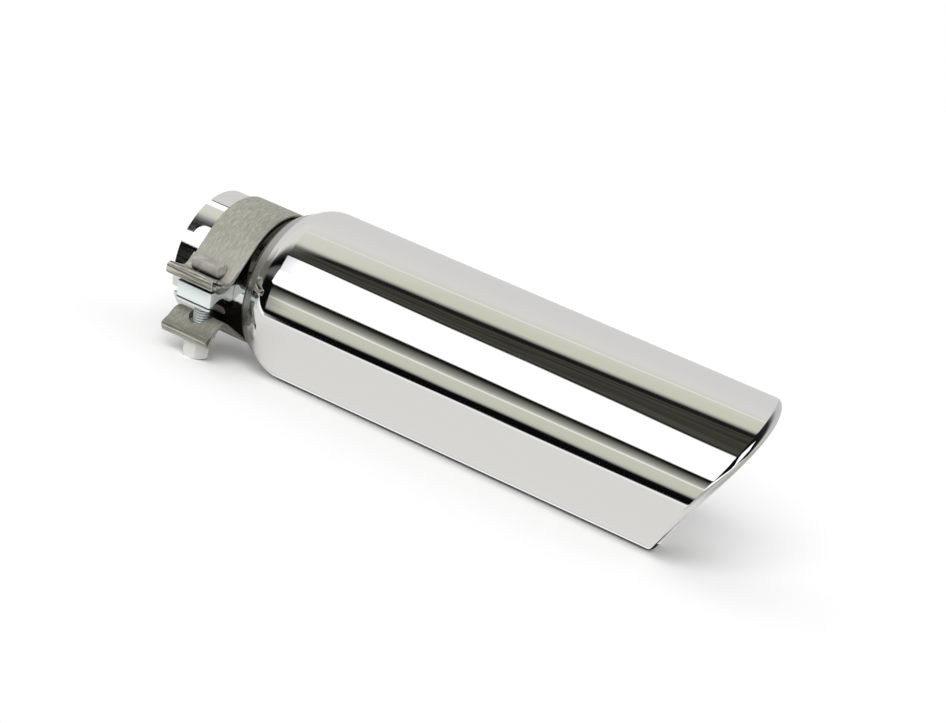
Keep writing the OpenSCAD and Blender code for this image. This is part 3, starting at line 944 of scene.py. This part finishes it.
def thread_finish():
    """Zinc, with painted shade in the valleys and where the thread stands in the block and in the upper ear.
    """
    f = plated("thread_zinc", (0.66, 0.72, 0.72), 0.28, 160, 0.6, 0.00003, 0.9)
    x, out, _ = f.clamp_place()
    beside = f.calc("SUBTRACT", x, BOLT_X / 1000)
    far = f.calc("SQRT", f.calc("ADD", f.calc("POWER", beside, 2.0), f.calc("POWER", out, 2.0)))
    # Painted shade in the thread's valleys
    f.darken(f.spread(far, *VALLEY, 0.0, 0.75), (0.1, 0.11, 0.11))
    # Painted shade where the thread stands in the block and in the upper ear's slot
    f.darken(f.spread(f.xyz(f.place)[2], *SHADE_ABOVE), (0.02, 0.02, 0.018))
    return f.mat


# Studio

def screen(*levels):
    """Light that the polish returns at these screen levels, 0 to 255."""
    def linear(v):
        v = v / 255
        return v / 12.92 if v <= 0.04045 else ((v + 0.055) / 1.055) ** 2.4
    levels = levels * 3 if len(levels) == 1 else levels
    return tuple(linear(v) / POLISH for v in levels)


# Strength of the soft light from all round
SOFT = 0.55
PALE, BEIGE, DARK = screen(205, 204, 202), screen(200, 200, 186), screen(9)
LAMP, TABLE = screen(262), screen(214, 213, 210)

# The studio that gloss sees: walls and lamps as (degrees round the bore, colour), from level behind the
# object up over it, down in front of it and back under the table

# Pale ceiling, a thin bright joint, a beige screen, and a dark gap with faint folds of cloth
OVERHEAD = [(0, PALE), (35, screen(207, 206, 204)), (58, screen(211, 210, 206)), (66, screen(205, 205, 197)),
            (67.2, screen(236)), (68.4, screen(203, 203, 191)), (76, BEIGE), (87, screen(196, 197, 180)),
            (89.5, screen(168, 169, 154)), (91.5, screen(104)), (92.8, DARK), (93.6, screen(70)),
            (94.4, DARK), (96.5, DARK), (97.5, screen(48, 47, 42)), (100, screen(68, 67, 60)),
            (101, screen(32, 31, 27)),
            (103, screen(70, 69, 62)), (105.5, screen(40, 39, 34)), (108, screen(66, 65, 58)),
            (112, screen(50, 49, 43)), (116, screen(72, 71, 64)), (118, screen(44, 43, 38)), (118.8, DARK),
            (119.6, DARK), (120.4, LAMP), (130, LAMP)]
# Long lamp, dark gap, beige board with a bright joint, dark table edge, table
FRONT = [(0, LAMP), (120, LAMP), (159.6, LAMP), (160.2, DARK), (162.6, DARK), (164, screen(62, 63, 58)),
         (170, screen(142, 142, 134)), (173.6, screen(186, 186, 174)), (174.4, screen(238)),
         (175.4, screen(196, 196, 181)), (184, screen(194, 194, 180)), (188, screen(184, 184, 170)),
         (190, screen(110)), (191, DARK), (200, DARK), (200.8, screen(246)), (201.8, screen(240)),
         (203, TABLE), (325, TABLE), (340, PALE), (360, PALE)]
# Beyond the inlet: ceiling, grey curtain, dark gap with a grey board, table
INLET_SIDE = [(0, PALE), (40, screen(208, 207, 205)), (60, screen(213, 212, 208)),
              (92, screen(213, 213, 206)), (99, screen(192, 192, 180)), (104, screen(150)),
              (108, screen(112)), (114, screen(55)),
              (121, screen(22)), (126, DARK), (131, DARK), (136, screen(84)), (140, screen(96)),
              (147, screen(96)), (152, screen(40)), (157, DARK), (197, DARK), (199, LAMP), (200.5, LAMP),
              (203, TABLE), (325, TABLE), (340, PALE), (360, PALE)]
# The curtain straight beyond the inlet: how far back it begins, its degrees round the bore and its colour
CURTAIN_BACK, CURTAIN_TURN, CURTAIN = (0.94, 0.99), (40, 62), screen(100, 99, 90)
# Beyond the outlet: a dim room with one low lamp
OUTLET_SIDE = [(0, screen(190)), (30, screen(180)), (50, screen(110)), (62, screen(44)), (97, screen(18)),
               (125, DARK), (163, DARK), (166, LAMP), (176, LAMP), (179, screen(150)), (200, screen(180)),
               (225, screen(208)), (325, TABLE), (345, screen(195)), (360, screen(190))]
# Lower and upper edge of the window beyond the outlet, in degrees, by how far along the bore it is
WINDOW_LOW = [(0, 122), (0.42, 97), (0.52, 104), (0.65, 109), (0.76, 115), (0.8, 150), (1, 181)]
WINDOW_HIGH = [(0, 122), (0.15, 131), (0.33, 137), (0.5, 144), (0.65, 153), (0.74, 181), (0.8, 181),
               (0.82, 120)]
# How far back the middle of the studio ends towards the inlet and towards the outlet, and the inlet side's
# blur there, by degrees
INLET_EDGE = [(0, 0.5), (138, 0.5), (143, 0.53), (156, 0.61), (158, 0.5), (360, 0.5)]
OUTLET_EDGE = [(0, 0.31), (130, 0.31), (138, 0.26), (160, 0.26), (164, 0.31), (360, 0.31)]
INLET_BLUR = [(0, 0.05), (86, 0.05), (104, 0.006), (200, 0.006), (210, 0.04), (360, 0.05)]
OUTLET_BLUR = 0.006
# How far the folds of the dark gap wander, in degrees, and from where to where they do
STREAK_WAVE, STREAKS_FROM, STREAKS_TO = 16.0, (97.5, 102), (118, 114)
# How far a stripe turns, in degrees, from one end of the bore to the other, and about which point
LEANING = [(0, 0), (40, 0), (62, -75), (84, -89), (104, -89), (112, 0), (118, 37), (125, 37), (130, 16),
           (160, 16), (175, -10), (190, -19), (204, -12), (215, 0), (360, 0)]
LEANING_ABOUT = 0.41
# Where OVERHEAD hands over to FRONT, inside the lamp
OVER_TO_FRONT = 125.0


def studio_world():
    """White for the camera, plain soft light, and for gloss the studio's walls and lamps."""
    world = bpy.data.worlds.new("studio")
    bpy.context.scene.world = world
    world.use_nodes = True
    world.node_tree.nodes.clear()
    w = Wiring(world.node_tree)
    along, y, z = w.xyz(w.n.new("ShaderNodeTexCoord").outputs["Generated"])
    turn = w.calc("SUBTRACT", w.calc("ARCTAN2", z, y), LEAN)
    angle = w.calc("MULTIPLY", w.calc("WRAP", turn, 2 * math.pi, 0.0), 180 / math.pi)
    back = w.calc("MULTIPLY", along, -1.0)
    lean = w.curve(angle, 360, LEANING, -100, 100)
    straight = w.calc("SUBTRACT", angle, w.calc("MULTIPLY", lean, w.calc("ADD", along, LEANING_ABOUT)))
    wave = w.calc("MULTIPLY", w.calc("SUBTRACT", w.noise(along, angle), 0.5), STREAK_WAVE)
    within = w.calc("MULTIPLY", w.spread(straight, *STREAKS_FROM), w.spread(straight, *STREAKS_TO))
    straight = w.calc("MULTIPLY_ADD", wave, within, straight)
    above = w.calc("LESS_THAN", straight, OVER_TO_FRONT)
    middle = w.mix(above, w.ramp(straight, 360, FRONT), w.ramp(straight, 360, OVERHEAD))
    curtain = w.calc("MULTIPLY", w.spread(back, *CURTAIN_BACK), w.spread(angle, *CURTAIN_TURN))
    inlet = w.mix(curtain, w.ramp(angle, 360, INLET_SIDE), CURTAIN)
    low, high = (w.curve(along, 1, edge, 0, 360) for edge in (WINDOW_LOW, WINDOW_HIGH))
    window = w.calc("MULTIPLY", w.calc("GREATER_THAN", angle, low), w.calc("LESS_THAN", angle, high))
    outlet = w.mix(window, w.ramp(angle, 360, OUTLET_SIDE), LAMP)
    edges = (INLET_EDGE, OUTLET_EDGE, INLET_BLUR)
    inlet_edge, outlet_edge, blur = (w.curve(angle, 360, edge, 0, 1) for edge in edges)
    past_inlet = w.spread(w.calc("DIVIDE", w.calc("SUBTRACT", back, inlet_edge), blur), -1.0, 1.0)
    past_outlet = w.spread(w.calc("SUBTRACT", outlet_edge, back), -OUTLET_BLUR, OUTLET_BLUR)
    room = w.mix(past_inlet, w.mix(past_outlet, middle, outlet), inlet)
    gloss = w.n.new("ShaderNodeLightPath").outputs["Is Glossy Ray"]
    seen = w.n.new("ShaderNodeLightPath").outputs["Is Camera Ray"]
    sky, out = w.n.new("ShaderNodeBackground"), w.n.new("ShaderNodeOutputWorld")
    w.feed(sky.inputs["Color"], w.mix(gloss, w.mix(seen, (SOFT,) * 3, (1.0, 1.0, 1.0)), room))
    w.feed(sky.inputs["Strength"], 1.0)
    w.l.new(sky.outputs[0], out.inputs["Surface"])


# Painted shadow and bright line that the underside mirrors: the table's glow for gloss, by the distance in
# front of the line on which the shell rests
UNDER = [(0, screen(24)), (0.009, screen(40)), (0.011, screen(80)), (0.0125, screen(228)),
        (0.0145, screen(238)), (0.0165, screen(216)), (0.0175, screen(186)), (0.0185, TABLE), (0.06, TABLE)]


# Half the table's side; along the bore, where it is greyer in gloss, and the two ends of the shell's image
TABLE_HALF, GREYER, IMAGE_FROM, IMAGE_TO = 3, (0.38, 0.42), (0.05, 0.075), (0.365, 0.335)
# In front of this line gloss looks through the table
CLEAR_BEFORE = -0.085


def studio_floor():
    """A white table; gloss sees it greyer, and under the shell only a glow of UNDER, a painted shadow with a
    bright line.
    """
    half = TABLE_HALF
    around = ((-half, -half), (half, -half), (half, half), (-half, half))
    floor = new_piece("floor", [(x, y, -SHELL_R / 1000) for x, y in around], [(0, 1, 2, 3)])
    mat = bpy.data.materials.new("floor_white")
    mat.use_nodes = True
    mat.node_tree.nodes.clear()
    w = Wiring(mat.node_tree)
    gloss = w.n.new("ShaderNodeLightPath").outputs["Is Glossy Ray"]
    x, y = w.xyz(w.n.new("ShaderNodeTexCoord").outputs["Object"])[:2]
    paint, clear = w.n.new("ShaderNodeBsdfDiffuse"), w.n.new("ShaderNodeBsdfTransparent")
    # Painted shadow and bright line, glowing for gloss only, which the shell's underside mirrors
    shadow_glow = w.n.new("ShaderNodeEmission")
    w.feed(shadow_glow.inputs["Color"], w.ramp(w.calc("ABSOLUTE", y), 0.06, UNDER))
    greyer = w.mix(w.spread(x, *GREYER), TABLE, screen(172, 171, 162))
    w.feed(paint.inputs["Color"], w.mix(gloss, (1.0, 1.0, 1.0), greyer))
    under_shell = w.calc("MULTIPLY", w.spread(x, *IMAGE_FROM), w.spread(x, *IMAGE_TO))
    mirrored, pick = w.n.new("ShaderNodeMixShader"), w.n.new("ShaderNodeMixShader")
    w.feed(mirrored.inputs[0], w.calc("MULTIPLY", gloss, under_shell))
    w.l.new(paint.outputs[0], mirrored.inputs[1])
    w.l.new(shadow_glow.outputs[0], mirrored.inputs[2])
    w.feed(pick.inputs[0], w.calc("MULTIPLY", gloss, w.calc("LESS_THAN", y, CLEAR_BEFORE)))
    w.l.new(mirrored.outputs[0], pick.inputs[1])
    w.l.new(clear.outputs[0], pick.inputs[2])
    w.l.new(pick.outputs[0], w.n.new("ShaderNodeOutputMaterial").inputs["Surface"])
    floor.data.materials.append(mat)


# The way the key light runs, its strength and its width in degrees
KEY_RUN, KEY_ENERGY, KEY_WIDTH = (-0.5, 1.6, -1.0), 3.0, 40


def key_light():
    """A wide distant lamp, high in front, which the polish doesn't mirror."""
    data = bpy.data.lights.new("key", "SUN")
    data.energy, data.angle = KEY_ENERGY, math.radians(KEY_WIDTH)
    lamp = bpy.data.objects.new("key", data)
    bpy.context.scene.collection.objects.link(lamp)
    lamp.rotation_euler = Vector(KEY_RUN).to_track_quat("-Z", "Y").to_euler()
    lamp.visible_glossy = False


# The camera, in shell radii: swing and dip in radians, distance, focal length in picture widths of 946, the
# point it looks at, and how its own frame is turned and shifted along the bore to the row's
SWING, DIP, DISTANCE, FOCAL = 0.604596, 0.697849, 32.3378, 2973.704
AIMED_AT, FRAME_TURN, FRAME_SHIFT = (1.21397, 0, 0.083908), math.radians(18), 0.12083
PICTURE_W, SENSOR_W = 946, 36


def photo_camera():
    """The camera of the photograph, from the tube's outline and the band's edges."""
    ahead = Vector((-math.sin(SWING) * math.cos(DIP), math.cos(SWING) * math.cos(DIP), -math.sin(DIP)))
    right = Vector((math.cos(SWING), math.sin(SWING), 0))
    spin = Matrix.Rotation(FRAME_TURN + LEAN, 3, "X")
    at = spin @ (Vector(AIMED_AT) - DISTANCE * ahead) * SHELL_R / 1000 + Vector((FRAME_SHIFT, 0, 0))
    up = right.cross(ahead)
    axes = Matrix((spin @ right, spin @ up, -(spin @ ahead))).transposed()
    data = bpy.data.cameras.new("camera")
    data.sensor_width, data.lens = SENSOR_W, FOCAL * SENSOR_W / PICTURE_W
    data.clip_start, data.clip_end = 0.05, 20
    cam = bpy.data.objects.new("camera", data)
    bpy.context.scene.collection.objects.link(cam)
    cam.matrix_world = Matrix.Translation(at) @ axes.to_4x4()
    bpy.context.scene.camera = cam


# Build

def finish_piece(piece, mat, node):
    """Keeps the piece inside the CAD box, hangs it on the root body and hides the CAD part it stands for; mat
    None leaves its own material.
    """
    low, high = cad_box
    for v in piece.data.vertices:
        v.co = [min(max(c, a), b) for c, a, b in zip(v.co, low, high)]
    if mat is not None:
        piece.data.materials.clear()
        piece.data.materials.append(mat)
    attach(piece, "root")
    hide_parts(node)


thread_zinc = thread_finish()
head_dull = head_finish()
weld_steel = plated("weld_steel", (0.8, 0.8, 0.76), 0.1, 300).mat
block_zinc = block_finish()
saddle_zinc = plated("saddle_zinc", (0.66, 0.67, 0.67), 0.35, 240).mat
nut_zinc = plated("nut_zinc", (0.64, 0.64, 0.62), 0.5, 60, 0.3, 0.00002, 0.96).mat

finish_piece(make_shell(), mirror_polish(), "outer_shell")
finish_piece(make_tube(), tube_polish(), "inlet_tube")
finish_piece(make_band(), strip_satin(), "clamp_band")
finish_piece(make_block(), block_zinc, "reaction_block")
finish_piece(make_head(), head_dull, "t_bolt")
finish_piece(make_core(), thread_zinc, "t_bolt")
finish_piece(make_thread(thread_zinc), None, "t_bolt")
finish_piece(make_saddle(), saddle_zinc, "saddle_bar")
finish_piece(make_nut(), nut_zinc, "nut")
finish_piece(make_weld(weld_steel), None, "neck_weld")

studio_world()
studio_floor()
key_light()
photo_camera()

bpy.context.scene.view_settings.view_transform = "Standard"
